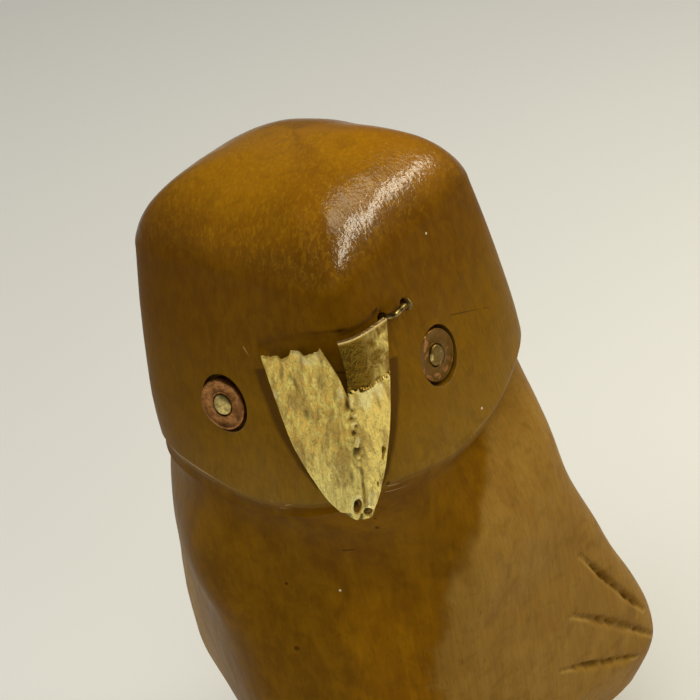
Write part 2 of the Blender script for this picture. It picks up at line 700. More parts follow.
def wood_notes(piece):
    points, facing = points_of(piece), normals_of(piece)
    azimuth = np.degrees(np.arctan2(points[:, 0], -points[:, 1]))
    depth = CHIN - points[:, 2]
    edge = np.array(BIB_EDGE)
    bib_half = np.interp(depth, edge[:, 0], edge[:, 1])
    ragged = 2.2 * soft_noise(points, 1.6, 71) + 1.2 * soft_noise(points, 0.7, 72)
    right = 1 - smooth_step(-2.5, 3.5, azimuth + ragged - bib_half)
    left = 1 - smooth_step(34, 72, -azimuth + ragged - bib_half)
    turned_azimuth = azimuth - HEAD_TURN
    above_chin = points[:, 2] - CHIN - chin_line(turned_azimuth)
    head = smooth_step(-0.1, 0.3, above_chin)
    bib = right * left * (1 - head)
    crown = smooth_step(0.2, 0.6, facing[:, 2]) * head
    cuts, fall = np.full(len(points), 9.0), np.zeros(len(points))
    for path in feather_paths:
        gap, place = distance_to_path(points, path)
        level = np.interp(place, np.linspace(0, 1, len(path)), path[:, 2])
        fall = np.where(gap < cuts, level - points[:, 2], fall)
        cuts = np.minimum(cuts, gap)
    write_note(piece, "bib", bib)
    write_note(piece, "crown", crown)
    write_note(piece, "head", head)
    write_note(piece, "rise", np.clip(above_chin, -6, 40))
    write_note(piece, "warm", smooth_step(-10, 14, azimuth + 2 * ragged) * bib * (0.3 + 0.7 * smooth_step(4, 34, depth)))
    write_note(piece, "around", (turned_azimuth + 180) % 360 - 180)
    write_note(piece, "chin_gap", np.clip(above_chin - CHIN_EDGE_HEIGHT * 0.75, -9, 9))
    across, front, rise = across_face(points)
    left, right = np.array(BEAK_LEFT_EDGE)[::-1], np.array(BEAK_RIGHT_EDGE)[::-1]
    beside = np.maximum(np.interp(rise, left[:, 1], left[:, 0]) - across,
                        across - np.interp(rise, right[:, 1], right[:, 0]))
    off_the_sheet = 9 * (1 - smooth_step(1.0, 2.6, rise) * (1 - smooth_step(14.0, 16.6, rise)) * (front > 5))
    write_note(piece, "sheet_gap", np.clip(beside + off_the_sheet, -9, 9))
    write_note(piece, "feather_gap", np.minimum(cuts, 9))
    write_note(piece, "feather_fall", np.clip(fall, -2, 2))
    write_note(piece, "knife_gap", np.minimum(distance_to_path(points, knife_path)[0], 9))
    return bib, crown


bib, crown = wood_notes(owl)
print("share of points in the bib:", round(float(bib.mean()), 3), "on the crown:", round(float(crown.mean()), 3))

# %% [markdown]
# ## The beak
# A triangle of thin sheet brass was cut with snips, folded over the front corner of the head and
# nailed at its tip and its upper corner. It stands off the wood towards the tip. The mesh is two
# panels joined at the fold; above the fold's start they part in a narrow V. The left panel's top
# was torn, not cut, so its edge is ragged. Thin metal shows every blow, so the sheet is covered in
# dents, and it is crumpled along the fold. It is built as an outer skin, an inner skin a little way
# behind it and rims that close them: the punches in the next step need a closed solid to cut.

# %% Shape the sheet
SHEET_ROWS = 210
PANEL_COLUMNS = 62
NOTCH_END = 0.27
NOTCH_HALF = 0.85
TORN_EDGE = [(0, 0.1), (0.13, 0.2), (0.16, 0.45), (0.25, 0.5), (0.37, 0.6), (0.43, 0.08), (0.55, -0.15),
             (0.59, 0.34), (0.71, 0.6), (0.76, 0.2), (0.86, 0.34), (0.94, 0.2), (1, 0.1)]
SLOT = {"across": -0.74, "rise": 3.62, "half_width": 0.4, "half_height": 0.85, "lean": -16}
DIMPLE = {"across": 0.1, "rise": 3.0, "half_width": 0.43, "half_height": 0.46, "lean": 0}
BEND = 0.243


def torn_drop(share):
    """How far the torn edge drops at a share of the left panel's width, in mm."""
    edge = np.array(TORN_EDGE)
    x = np.stack([share * 9, np.full(np.shape(share), 0.3), np.full(np.shape(share), 1.0)], -1)
    return np.interp(share, edge[:, 0], edge[:, 1]) + 0.07 * soft_noise(x, 0.25, 31)


def sheet_place(u, v):
    """Across and rise of a place on the sheet: u from -1 to 1 across, v from 0 at the top to 1."""
    steps = np.linspace(0, 1, len(BEAK_FOLD))
    edges = {}
    for label, edge in (("left", BEAK_LEFT_EDGE), ("fold", BEAK_FOLD), ("right", BEAK_RIGHT_EDGE)):
        edge = np.array(edge)
        edges[label] = [through_stations(steps, edge[:, k], v) for k in (0, 1)]
    share = np.abs(u)
    across = np.where(u < 0, mix(edges["fold"][0], edges["left"][0], share),
                      mix(edges["fold"][0], edges["right"][0], share))
    rise = np.where(u < 0, mix(edges["fold"][1], edges["left"][1], share),
                    mix(edges["fold"][1], edges["right"][1], share))
    return across, rise


def hump(x, width):
    """A soft bump of height 1 at zero."""
    return np.exp(-(x / width) ** 2)


def hole_gap(across, rise, hole):
    """Distance in mm to the rim of an oval hole, negative inside it."""
    lean = math.radians(hole["lean"])
    x, y = across - hole["across"], rise - hole["rise"]
    x, y = x * math.cos(lean) + y * math.sin(lean), y * math.cos(lean) - x * math.sin(lean)
    reach = np.hypot(x / hole["half_width"], y / hole["half_height"])
    return (reach - 1) * hole["half_width"]


def dents(across, rise, u, v):
    """Height of the sheet's dents, creases and rolled rims, in mm."""
    flat = np.stack([across, rise, 0 * across], -1)
    from_fold = across - sheet_place(0 * u, v)[0]
    right = np.where(u > 0, 1.0, 0.0)
    waves = 0.1 * soft_noise(flat, 2.4, 43, (1, 1.8, 1)) + 0.07 * soft_noise(flat, 1.1, 45, (1, 1.5, 1))
    flakes = 0.08 * soft_noise(flat, 0.6, 41, (1, 1.8, 1)) + 0.04 * soft_noise(flat, 0.3, 42, (1, 1.4, 1))
    calm = 1 - 0.96 * right * (1 - smooth_step(BEND - 0.03, BEND, v))
    creases = -0.12 * hump(u + 0.66 - 0.14 * v, 0.06) * smooth_step(0.0, 0.1, v) * (1 - smooth_step(0.5, 0.75, v))
    creases = creases - 0.1 * hump(u + 0.3 - 0.3 * (v - 0.4), 0.05) * smooth_step(0.3, 0.45, v) * (1 - smooth_step(0.6, 0.8, v))
    crumple = hump(from_fold + 0.05, 0.4) * smooth_step(0.22, 0.3, v) * (1 - smooth_step(0.5, 0.66, v))
    crushed = crumple * (0.42 * soft_noise(flat, 0.36, 44) - 0.12)
    valley = -0.24 * hump(from_fold - 0.05, 0.2) * smooth_step(0.5, 0.66, v)
    ridge = 0.06 * hump(from_fold - 0.42, 0.2) * smooth_step(0.5, 0.66, v)
    uneven = 0.012 * soft_noise(flat, 0.5, 46)
    bend = right * (smooth_step(BEND - 0.012, BEND + 0.008, v + uneven) * (1 - smooth_step(BEND, BEND + 0.16, v)))
    hollow = -0.16 * right * (1 - smooth_step(0.0, BEND, v)) * np.sin(math.pi * np.clip(u, 0, 1))
    rims = sum(0.16 * hump(hole_gap(across, rise, hole) - 0.1, 0.1) for hole in (SLOT, DIMPLE))
    lip = 0.07 * right * hump(v, 0.012)
    pressed = 0.26 * smooth_step(0.88, 0.955, v)
    return calm * (waves + flakes) + creases + crushed + valley + ridge + 0.17 * bend + hollow + rims + lip - pressed


def sheet_panel(side):
    """Grid of one panel's points with its u and v; side is -1 for the left, 1 for the right."""
    v, share = np.meshgrid(np.linspace(0, 1, SHEET_ROWS + 1), np.linspace(0, 1, PANEL_COLUMNS + 1), indexing="ij")
    open_share = np.clip((NOTCH_END - v) / NOTCH_END, 0, 1)
    u = side * share
    width = 6.2
    start = NOTCH_HALF * open_share ** 0.8 / width
    u = side * (start + (1 - start) * share)
    across, rise = sheet_place(u, v)
    fade = (1 - v) ** 9
    if side < 0:
        rise = rise - fade * torn_drop(np.abs(u))
    dent = dents(across, rise, u, v)
    outer = on_face(across, rise, BROW_SQUARENESS, SHEET_GAP + SHEET_THICKNESS + dent)
    inner = on_face(across, rise, BROW_SQUARENESS, SHEET_GAP + 0.05 + 0.5 * dent)
    return np.stack([outer, inner], -2), u, v, dent


def sheet_mesh():
    """Both panels, sharing the points of the fold below the notch: outer skin, inner skin, rims."""
    left, left_u, v, left_dent = sheet_panel(-1)
    right, right_u, _, right_dent = sheet_panel(1)
    rows, columns = left.shape[:2]
    points = list(left.reshape(-1, 2, 3))
    notes = list(zip(left_u.ravel(), v.ravel(), left_dent.ravel()))
    left_number = np.arange(rows * columns).reshape(rows, columns)
    right_number = np.zeros((rows, columns), int)
    for row in range(rows):
        for column in range(columns):
            if column == 0 and v[row, 0] >= NOTCH_END:
                right_number[row, 0] = left_number[row, 0]
                continue
            right_number[row, column] = len(points)
            points.append(right[row, column])
            notes.append((right_u[row, column], v[row, column], right_dent[row, column]))
    faces = []
    for row in range(rows - 1):
        for column in range(columns - 1):
            a, b = left_number[row, column], left_number[row, column + 1]
            c, d = left_number[row + 1, column + 1], left_number[row + 1, column]
            faces.append((a, b, c, d))
            a, b = right_number[row, column], right_number[row, column + 1]
            c, d = right_number[row + 1, column + 1], right_number[row + 1, column]
            faces.append((a, d, c, b))
    points = np.array(points)
    count = len(points)
    edges = {(face[i], face[(i + 1) % 4]) for face in faces for i in range(4)}
    rims = [(b, a, count + a, count + b) for a, b in edges if (b, a) not in edges]
    inner = [tuple(count + i for i in reversed(face)) for face in faces]
    notes = np.array(notes)
    return np.concatenate([points[:, 0], points[:, 1]]), faces + inner + sorted(rims), np.concatenate([notes, notes])


def make_beak():
    points, faces, notes = sheet_mesh()
    beak = mesh_object("brass_beak", points, faces)
    write_note(beak, "sheet_u", notes[:, 0])
    write_note(beak, "sheet_v", notes[:, 1])
    write_note(beak, "relief", notes[:, 2])
    return beak


beak = make_beak()
print("sheet:", len(beak.data.polygons), "faces")

# %% [markdown]
# The sheet's holes are punched through: two for the nails at the tip, one for the corner nail, and
# one where the thin metal has torn through near its right edge.

# %% Punch the sheet
TORN_HOLE = {"across": 2.5, "rise": 7.65, "half_width": 0.24, "half_height": 0.68, "lean": -28}
NIBBLE = {"across": 1.45, "rise": 5.2, "half_width": 0.1, "half_height": 0.26, "lean": -10}


def oval_punch(name, hole, out, wobble):
    """A cutter for an oval hole with uneven sides."""
    centre = on_face(hole["across"], hole["rise"], BROW_SQUARENESS, SHEET_GAP)
    across = np.cross([0, 0, 1.0], out)
    across = across / np.linalg.norm(across)
    up = np.cross(out, across)
    turn = np.linspace(0, 2 * math.pi, 28, endpoint=False)
    reach = 1 + wobble * (np.sin(3 * turn + 0.6) + 0.5 * np.sin(5 * turn))
    x, y = hole["half_width"] * reach * np.cos(turn), hole["half_height"] * reach * np.sin(turn)
    lean = math.radians(hole["lean"])
    x, y = x * math.cos(lean) - y * math.sin(lean), x * math.sin(lean) + y * math.cos(lean)
    outline = centre + x[:, None] * across + y[:, None] * up
    points = np.concatenate([outline - 1.5 * out, outline + 2.0 * out])
    count = len(turn)
    sides = [(i, (i + 1) % count, count + (i + 1) % count, count + i) for i in range(count)]
    caps = [tuple(range(count - 1, -1, -1)), tuple(range(count, 2 * count))]
    return mesh_object(name, points, sides + caps)


punches = [oval_punch("slot", SLOT, TIP_AXIS, 0.03), oval_punch("dimple", DIMPLE, TIP_AXIS, 0.03)]
punches.append(drill(corner_point, CORNER_AXIS, -1, 4, NAIL_BORE_RADIUS, 32))
punches.append(oval_punch("torn_hole", TORN_HOLE, direction(28, 8), 0.2))
punches.append(oval_punch("nibble", NIBBLE, direction(14, 8), 0.2))
cut_away(beak, punches)
shade(beak, 45)
print("punched sheet:", len(beak.data.polygons), "faces")

# %% [markdown]
# ## The eyes
# Each eye is a washer of copper pressed into its hole with a brass pin through it. The washer's
# outer edge is burred up by the punch, and the pin's end was filed nearly flat. Turned profiles
# give both; a little unevenness keeps them from looking machined.

# %% Turn the discs and pins
DISC_PROFILE_ROWS = [
    (DISC_HOLE_RADIUS, -DISC_FLOOR), (DISC_RADIUS - 0.1, -DISC_FLOOR), (DISC_RADIUS, -DISC_FLOOR + 0.1),
    (DISC_RADIUS, -0.16), (DISC_RADIUS - 0.05, -0.09), (DISC_RADIUS - 0.16, -0.06), (DISC_RADIUS - 0.3, -0.11),
    (DISC_RADIUS - 0.5, -0.17), (1.9, -0.19), (1.65, -0.19), (1.42, -0.15), (1.26, -0.1), (DISC_HOLE_RADIUS + 0.02, -0.16),
]
PIN_PROFILE = [(0, -DISC_FLOOR), (PIN_RADIUS, -DISC_FLOOR), (PIN_RADIUS, -0.16), (PIN_RADIUS - 0.05, -0.07),
               (PIN_RADIUS - 0.16, -0.02), (0.6, -0.01), (0.3, 0.0), (0, 0.0)]
DISC_SIDES = 96
DULLED = {"left": 0.0, "right": 1.0}


def turned_ring(rows, centre, axis, sides, name):
    """A ring turned round an axis from a closed profile that stays off it."""
    axis = np.asarray(axis, float)
    side = np.cross(axis, [0, 0, 1.0])
    side = side / np.linalg.norm(side)
    other = np.cross(axis, side)
    turn = np.linspace(0, 2 * math.pi, sides, endpoint=False)
    around = np.cos(turn)[:, None] * side + np.sin(turn)[:, None] * other
    points = np.concatenate([centre + radius * around + axis * height for radius, height in rows])
    faces = []
    for row in range(len(rows)):
        a, b = row * sides, (row + 1) % len(rows) * sides
        faces += [(a + i, a + (i + 1) % sides, b + (i + 1) % sides, b + i) for i in range(sides)]
    return mesh_object(name, points, faces)


def roughen(piece, centre, axis, amount, size, seed):
    """Moves points along the axis a little, more for those that face outwards."""
    points = points_of(piece)
    high = smooth_step(-0.6, -0.15, (points - centre) @ axis)
    points = points + (amount * high * soft_noise(points, size, seed))[:, None] * axis
    piece.data.vertices.foreach_set("co", (points * MM).astype(np.float32).ravel())
    piece.data.update()


discs, pins = {}, {}
for number, (side, eye) in enumerate(EYES.items()):
    centre, axis = eye_place(eye)
    discs[side] = turned_ring(DISC_PROFILE_ROWS, centre, axis, DISC_SIDES, "copper_disc_" + side)
    pins[side] = turned(PIN_PROFILE, centre, axis, 64, "brass_pin_" + side)
    roughen(discs[side], centre, axis, 0.045, 0.8, 51 + number)
    roughen(pins[side], centre, axis, 0.03, 0.6, 61 + number)
    for piece in (discs[side], pins[side]):
        write_note(piece, "dulled", np.full(len(piece.data.vertices), DULLED[side]))
    shade(discs[side], 50)
    shade(pins[side], 50)
print("eyes:", sorted(discs))

# %% [markdown]
# ## The nails
# The two nails at the tip sit in dimpled holes. The one at the corner was hit askew and lies bent
# over the edge of the sheet, its small head against the wood.

# %% Drive the nails
NAIL_HEAD_RADIUS = 0.68


def tip_nail(side):
    outer, reach = tip_place(*TIP_NAILS[side])
    profile = [(0, -reach - NAIL_DEPTH), (NAIL_RADIUS * 0.6, -reach - NAIL_DEPTH), (NAIL_RADIUS, -reach - NAIL_DEPTH + 0.5),
               (NAIL_RADIUS, -0.3), (NAIL_RADIUS - 0.06, -0.2), (NAIL_RADIUS - 0.2, -0.14), (0, -0.12)]
    piece = turned(profile, outer, TIP_AXIS, 32, "tip_nail_" + side)
    shade(piece, 50)
    return piece


def corner_nail():
    lift = 1.0
    head_end = on_face(CORNER_NAIL["head_across"], CORNER_NAIL["head_rise"], squareness_at(18.5), lift)
    knee = corner_point + CORNER_AXIS * lift
    path = curve_through([corner_point - CORNER_AXIS * NAIL_DEPTH, corner_point + CORNER_AXIS * 0.3,
                          mix(knee, head_end, 0.16) - CORNER_AXIS * 0.02, mix(knee, head_end, 0.5), head_end], 60)
    radii = np.full(len(path), NAIL_RADIUS)
    radii[:8] = np.linspace(0.1, NAIL_RADIUS, 8)
    radii = radii * (1 + 0.05 * soft_noise(path, 0.5, 81))
    lie = (path[-1] - path[-2]) / np.linalg.norm(path[-1] - path[-2])
    cap = path[-1] + np.outer(np.array([0.0, 0.02, 0.07, 0.16, 0.24, 0.3, 0.33, 0.35, 0.36, 0.365]), lie)
    cap_radii = NAIL_HEAD_RADIUS * np.array([0.6, 0.86, 0.97, 0.99, 0.95, 0.86, 0.7, 0.48, 0.24, 0.05])
    return tube(np.concatenate([path, cap]), np.concatenate([radii, cap_radii]), 28, "corner_nail")


def tube(path, radii, sides, name):
    """A closed tube along a path with its own radius at each point."""
    run = np.gradient(path, axis=0)
    run = run / np.linalg.norm(run, axis=1, keepdims=True)
    side = np.cross(run, [0.31, 0.17, 0.93])
    side = side / np.linalg.norm(side, axis=1, keepdims=True)
    other = np.cross(run, side)
    turn = np.linspace(0, 2 * math.pi, sides, endpoint=False)
    rows = [p + r * (np.cos(turn)[:, None] * s + np.sin(turn)[:, None] * o)
            for p, r, s, o in zip(path, radii, side, other)]
    points = np.concatenate([[path[0]]] + rows + [[path[-1]]])
    faces = [(0, 1 + (i + 1) % sides, 1 + i) for i in range(sides)]
    for row in range(len(rows) - 1):
        a, b = 1 + row * sides, 1 + (row + 1) * sides
        faces += [(a + i, a + (i + 1) % sides, b + (i + 1) % sides, b + i) for i in range(sides)]
    last = 1 + (len(rows) - 1) * sides
    faces += [(len(points) - 1, last + i, last + (i + 1) % sides) for i in range(sides)]
    piece = mesh_object(name, points, faces)
    shade(piece, 50)
    return piece


tip_nails = {side: tip_nail(side) for side in TIP_NAILS}
bent_nail = corner_nail()
print("nails:", len(tip_nails) + 1)

# %% [markdown]
# ## Building materials from nodes
# Each finish is a small network of shader nodes. Two helpers keep the networks readable: one adds a
# node and fills its sockets, the other starts a group with named inputs and outputs, for an effect
# that more than one material uses.


# %% Node helpers
def node(tree, kind, inputs=None, **settings):
    made = tree.nodes.new("ShaderNode" + kind)
    for key, value in settings.items():
        setattr(made, key, value)
    for key, value in (inputs or {}).items():
        socket = made.inputs[key]
        if isinstance(value, bpy.types.NodeSocket):
            tree.links.new(value, socket)
        else:
            socket.default_value = value
    return made


def new_group(name, inputs, outputs):
    """An empty node group; inputs map a name to its socket kind and value."""
    group = bpy.data.node_groups.new(name, "ShaderNodeTree")
    for label, (kind, value) in inputs.items():
        socket = group.interface.new_socket(label, in_out="INPUT", socket_type="NodeSocket" + kind)
        if value is not None:
            socket.default_value = value
    for label, kind in outputs.items():
        group.interface.new_socket(label, in_out="OUTPUT", socket_type="NodeSocket" + kind)
    return group, group.nodes.new("NodeGroupInput").outputs, group.nodes.new("NodeGroupOutput").inputs


def use_group(tree, group, inputs=None):
    made = tree.nodes.new("ShaderNodeGroup")
    made.node_tree = group
    for key, value in (inputs or {}).items():
        socket = made.inputs[key]
        if isinstance(value, bpy.types.NodeSocket):
            tree.links.new(value, socket)
        else:
            socket.default_value = value
    return made.outputs


def new_material(name):
    material = bpy.data.materials.new(name)
    material.use_nodes = True
    tree = material.node_tree
    tree.nodes.clear()
    shader = node(tree, "BsdfPrincipled")
    node(tree, "OutputMaterial", {"Surface": shader.outputs["BSDF"]})
    return material, tree, shader.inputs


def remap(tree, value, low, high, to_low=0.0, to_high=1.0):
    """A smooth change from one pair of values to another."""
    return node(tree, "MapRange", {"Value": value, "From Min": low, "From Max": high,
                                   "To Min": to_low, "To Max": to_high},
                interpolation_type="SMOOTHSTEP").outputs["Result"]


def blend_colour(tree, share, a, b, mode="MIX"):
    made = node(tree, "Mix", data_type="RGBA", blend_type=mode)
    for socket, value in (("Factor_Float", share), ("A_Color", a), ("B_Color", b)):
        target = next(s for s in made.inputs if s.identifier == socket)
        if isinstance(value, bpy.types.NodeSocket):
            tree.links.new(value, target)
        else:
            target.default_value = value
    return next(s for s in made.outputs if s.identifier == "Result_Color")


def maths(tree, operation, a, b=0.0, clamp=False):
    made = node(tree, "Math", operation=operation, use_clamp=clamp)
    for socket, value in zip(made.inputs, (a, b)):
        if isinstance(value, bpy.types.NodeSocket):
            tree.links.new(value, socket)
        else:
            socket.default_value = value
    return made.outputs[0]


def millimetres(tree):
    """The place on the object, in millimetres."""
    place = node(tree, "TexCoord").outputs["Object"]
    return node(tree, "VectorMath", {0: place, 1: (1000, 1000, 1000)}, operation="MULTIPLY").outputs[0]


def note(tree, name):
    """A number that was written on the mesh."""
    return node(tree, "Attribute", attribute_name=name).outputs["Fac"]


print("helpers ready")

# %% [markdown]
# ## Shared effects
# Wood and metal both need patches, fine lines that run one way, and small marks. Each is a group:
# `patches` gives clouds of a chosen size and stretch, `hair_line` a thin wavering line between two
# points, and `speck` one small round mark.


# %% Shared node groups
MARK_REACH = 2.0


def patches_group():
    group, given, result = new_group(
        "patches",
        {"Place": ("Vector", None), "Size": ("Vector", (3, 3, 6)), "Detail": ("Float", 2.0),
         "Wander": ("Float", 0.0), "Low": ("Float", 0.35), "High": ("Float", 0.65)},
        {"Mask": "Float"})
    scaled = node(group, "VectorMath", {0: given["Place"], 1: given["Size"]}, operation="DIVIDE").outputs[0]
    cloud = node(group, "TexNoise", {"Vector": scaled, "Scale": 1.0, "Detail": given["Detail"],
                                     "Distortion": given["Wander"]}).outputs["Fac"]
    group.links.new(remap(group, cloud, given["Low"], given["High"]), result["Mask"])
    return group


def flat_offset(group, given, start):
    """The way from a start to the place, with its part along Facing taken off, and that part."""
    offset = node(group, "VectorMath", {0: given["Place"], 1: start}, operation="SUBTRACT").outputs[0]
    depth = node(group, "VectorMath", {0: offset, 1: given["Facing"]}, operation="DOT_PRODUCT").outputs["Value"]
    along = node(group, "VectorMath", {0: given["Facing"], "Scale": depth}, operation="SCALE").outputs[0]
    flat = node(group, "VectorMath", {0: offset, 1: along}, operation="SUBTRACT").outputs[0]
    return flat, remap(group, maths(group, "ABSOLUTE", depth), MARK_REACH + 0.5, MARK_REACH)


def hair_line_group():
    group, given, result = new_group(
        "hair_line",
        {"Place": ("Vector", None), "Start": ("Vector", None), "End": ("Vector", None),
         "Facing": ("Vector", None), "Width": ("Float", 0.12)},
        {"Mask": "Float"})
    flat, near = flat_offset(group, given, given["Start"])
    run = node(group, "VectorMath", {0: given["End"], 1: given["Start"]}, operation="SUBTRACT").outputs[0]
    along = node(group, "VectorMath", {0: flat, 1: run}, operation="DOT_PRODUCT").outputs["Value"]
    length = node(group, "VectorMath", {0: run, 1: run}, operation="DOT_PRODUCT").outputs["Value"]
    share = maths(group, "DIVIDE", along, length, clamp=True)
    nearest = node(group, "VectorMath", {0: run, "Scale": share}, operation="SCALE").outputs[0]
    gap = node(group, "VectorMath", {0: flat, 1: nearest}, operation="DISTANCE").outputs["Value"]
    line = remap(group, maths(group, "DIVIDE", gap, given["Width"]), 1.0, 0.35)
    group.links.new(maths(group, "MULTIPLY", line, near), result["Mask"])
    return group


def speck_group():
    group, given, result = new_group(
        "speck",
        {"Place": ("Vector", None), "Centre": ("Vector", None), "Facing": ("Vector", None),
         "Radius": ("Float", 0.2)},
        {"Mask": "Float"})
    flat, near = flat_offset(group, given, given["Centre"])
    gap = node(group, "VectorMath", {0: flat}, operation="LENGTH").outputs["Value"]
    spot = remap(group, maths(group, "DIVIDE", gap, given["Radius"]), 1.1, 0.6)
    group.links.new(maths(group, "MULTIPLY", spot, near), result["Mask"])
    return group


patches = patches_group()
hair_line = hair_line_group()
speck = speck_group()
print("shared groups:", patches.name, hair_line.name, speck.name)


# %% [markdown]
# ## The wood
# A close-grained wood under an orange-brown varnish. The varnish is thick, so grain shows only as
# soft clouds, fine strokes and short dark pores that run up and down. The tones follow the hand that
# brushed them on: a bright orange crown, dark brown brows, olive cheeks, a breast that turns from
# olive to orange, and wings of a dull tan. Only the crown is glossy. A coat layer gives it that
# gloss, and tiny ripples in the coat break the highlight into sparks. The chin's edge is rubbed
# down to bare, pale wood.

# %% Wood material
HEAD_TONES = [(0, (0.196, 0.104, 0.011, 1)), (10, (0.158, 0.074, 0.0012, 1)), (18, (0.118, 0.047, 0.0002, 1)),
              (23.8, (0.116, 0.043, 0.0002, 1)), (27.2, (0.222, 0.086, 0.0002, 1)), (30, (0.330, 0.138, 0.0002, 1))]
HIGHEST_TONE = 31
PALE_WOOD = (0.40, 0.25, 0.10, 1)
DARK_VARNISH = (0.045, 0.016, 0.001, 1)
PALE_SPECKS = [((13.4, -6.2, 84.8), (0.92, -0.34, 0.19), 0.14), ((0.7, -17.2, 49.2), (0, -1, 0.1), 0.16),
               ((16.6, -8.2, 65.7), (0.92, -0.34, 0.19), 0.15)]
DARK_SPECKS = [((-5.0, -17.1, 50.0), (0, -1, 0), 0.24), ((-5.3, -17.9, 41.7), (0, -1, 0), 0.36),
               ((9.6, -21.3, 66.2), (0.53, -0.77, -0.36), 0.28), ((6.9, -19.3, 60.4), (0.2, -0.86, -0.47), 0.2),
               ((6.6, -18.5, 58.6), (0.1, -0.92, -0.38), 0.28)]
SCRATCHES = [((-3.1, -20.4, 63.3), (-1.4, -20.9, 63.3), (-0.4, -0.88, -0.2), 0.1),
             ((-1.4, -20.9, 63.3), (3.0, -22.4, 65.5), (-0.25, -0.95, 0), 0.1),
             ((-2.3, -20.5, 62.6), (1.5, -21.3, 63.6), (-0.25, -0.95, 0), 0.08),
             ((9.5, -21.1, 65.8), (13.6, -15.8, 64.0), (0.7, -0.68, -0.2), 0.1),
             ((9.2, -21.2, 65.1), (12.2, -17.6, 63.9), (0.7, -0.68, -0.2), 0.08),
             ((-3.6, -16.7, 79.1), (-3.0, -17.1, 78.3), (-0.46, -0.86, 0.19), 0.1)]
CRACKS = [((14.9, -7.1, 76.1), (16.9, -2.4, 73.9), (0.93, -0.32, 0.19), 0.08),
          ((16.9, -2.4, 73.9), (18.6, 2.1, 71.1), (0.98, -0.2, 0.17), 0.07),
          ((2.1, -17.5, 54.7), (3.3, -17.5, 54.9), (0, -0.98, -0.19), 0.14)]


def tone_ramp(tree, value, highest, tones):
    """A colour that runs through tones, each given at its own value."""
    ramp = node(tree, "ValToRGB", {"Fac": maths(tree, "DIVIDE", value, highest)})
    ramp.color_ramp.interpolation = "EASE"
    elements = ramp.color_ramp.elements
    while len(elements) < len(tones):
        elements.new(1)
    for element, (at, tone) in zip(elements, tones):
        element.position = at / highest
        element.color = tone
    return ramp.outputs["Color"]


def marks_mask(tree, place, specks, lines):
    """One mask for a set of specks and hair lines; each says which way its surface faces."""
    total = 0.0
    for centre, facing, radius in specks:
        mask = use_group(tree, speck, {"Place": place, "Centre": centre, "Facing": Vector(facing).normalized(),
                                       "Radius": radius})["Mask"]
        total = maths(tree, "MAXIMUM", mask, total)
    for start, end, facing, width in lines:
        mask = use_group(tree, hair_line, {"Place": place, "Start": start, "End": end,
                                           "Facing": Vector(facing).normalized(), "Width": width})["Mask"]
        total = maths(tree, "MAXIMUM", mask, total)
    return total


